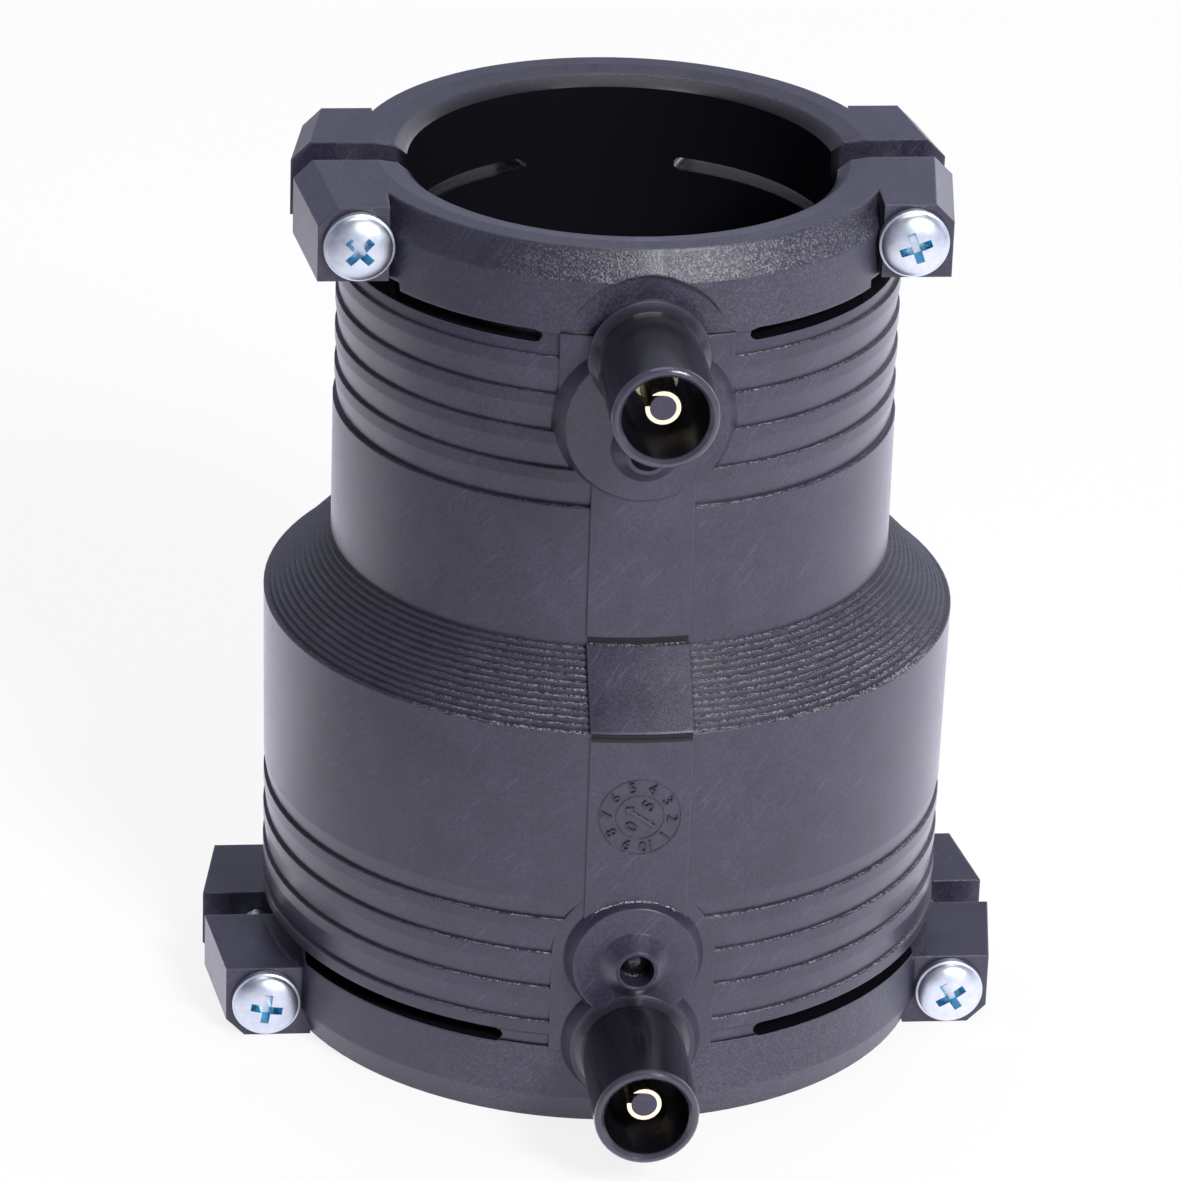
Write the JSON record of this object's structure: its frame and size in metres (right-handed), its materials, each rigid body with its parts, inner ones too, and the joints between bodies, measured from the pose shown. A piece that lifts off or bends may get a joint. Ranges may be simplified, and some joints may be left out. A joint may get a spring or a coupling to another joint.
{
  "type": "electrofusion reducer",
  "caption": "Electrofusion reducer for plastic pipe with two sockets, screwed pipe clamps at both mouths, shrouded terminals and fusion indicators.",
  "frame": {"origin": "on the socket axis, in the plane of the large socket's mouth, which is also the face that the part stands on", "axes": "+Z along the socket axis from the large mouth to the small one; the terminals face -Y; the clamp lugs stand at +X and -X"},
  "size_m": [0.0968, 0.1011, 0.1076],
  "materials": {
    "body_plastic": "matte moulded polyethylene, dark slate grey with a violet cast",
    "heating_wire": "drawn resistance wire, inside the wall",
    "contact_metal": "bright rolled brass",
    "indicator_plastic": "moulded polyethylene",
    "screw_zinc": "bright zinc plate"
  },
  "bodies": {
    "root": {"body": "body_plastic", "heating_wire": "heating_wire", "upper_contact": "contact_metal", "lower_contact": "contact_metal", "upper_indicator_pin": "indicator_plastic", "lower_indicator_pin": "indicator_plastic", "upper_left_screw": "screw_zinc", "upper_right_screw": "screw_zinc", "lower_left_screw": "screw_zinc", "lower_right_screw": "screw_zinc"}
  },
  "joints": []
}
